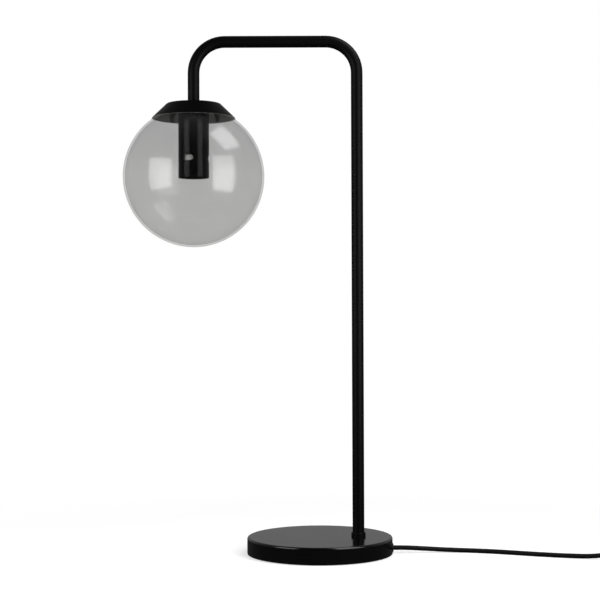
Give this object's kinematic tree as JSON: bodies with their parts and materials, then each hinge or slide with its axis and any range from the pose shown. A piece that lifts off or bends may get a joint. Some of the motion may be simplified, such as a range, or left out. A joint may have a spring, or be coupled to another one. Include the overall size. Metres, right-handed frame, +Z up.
{
  "type": "table lamp",
  "caption": "Table lamp with a round weighted base, a slim bent post and arm, and a clear glass globe under a conical cap, with cord, in-line switch and plug.",
  "frame": {"origin": "on the table, under the middle of the round base", "axes": "+Z up; the arm reaches towards -X, the cord leaves the base towards +X, and -Y is the front as pictured"},
  "size_m": [0.63, 0.1734, 0.5573],
  "materials": {
    "black_gloss": "gloss black lacquer",
    "black_satin": "semi-gloss black powder coat",
    "zinc_steel": "zinc plated",
    "spring_steel": "bright, tempered",
    "cast_weight": "raw casting",
    "foot_rubber": "matt",
    "bush_rubber": "matt",
    "cord_black": "smooth, semi-matt sheath",
    "live_brown": "smooth insulation",
    "neutral_blue": "smooth insulation",
    "clear_glass": "clear, blown",
    "porcelain": "glazed white porcelain",
    "brass_parts": "bright brass",
    "pin_metal": "nickel plated brass",
    "switch_black": "fine satin grain",
    "rocker_black": "semi-gloss",
    "plug_black": "satin",
    "tie_black": "plastic covered strip"
  },
  "bodies": {
    "lamp": {"base_cover": "black_gloss", "base_weight": "cast_weight", "base_pad": "foot_rubber", "foot_collar": "black_satin", "base_nipple": "zinc_steel", "base_washer": "zinc_steel", "base_nut": "zinc_steel", "cord_bush": "bush_rubber", "cord_clamp": "switch_black", "clamp_screws": "zinc_steel", "cord_inner": "cord_black", "live_wire": "live_brown", "neutral_wire": "neutral_blue", "arm_tube": "black_satin", "top_nipple": "zinc_steel", "cap": "black_satin", "globe_clips": "spring_steel", "holder_sleeve": "black_satin", "holder_washer": "zinc_steel", "holder_nuts": "zinc_steel", "holder_bracket": "zinc_steel", "bracket_screws": "zinc_steel", "holder_body": "porcelain", "screw_shell": "brass_parts", "centre_contact": "brass_parts", "holder_terminals": "brass_parts", "terminal_screws": "zinc_steel", "cord_lead": "cord_black", "switch_lower": "switch_black", "switch_upper": "switch_black", "switch_screws": "zinc_steel", "switch_contacts": "brass_parts", "cord_tail": "cord_black", "cord_coil": "cord_black", "cord_end": "cord_black", "coil_tie": "tie_black", "plug_body": "plug_black", "plug_pins": "pin_metal"},
    "globe": {"globe": "clear_glass"},
    "rocker": {"switch_rocker": "rocker_black"}
  },
  "joints": [
    {"name": "globe_pull", "type": "slide", "parent": "lamp", "child": "globe", "axis": [0, 0, -1], "range_m": [0, 0.09], "deforming": ["globe_clips"]},
    {"name": "rocker_tilt", "type": "hinge", "parent": "lamp", "child": "rocker", "pos_m": [0.348, -0.05, 0.0147], "axis": [0, 1, 0], "range_deg": [-14, 0]}
  ]
}
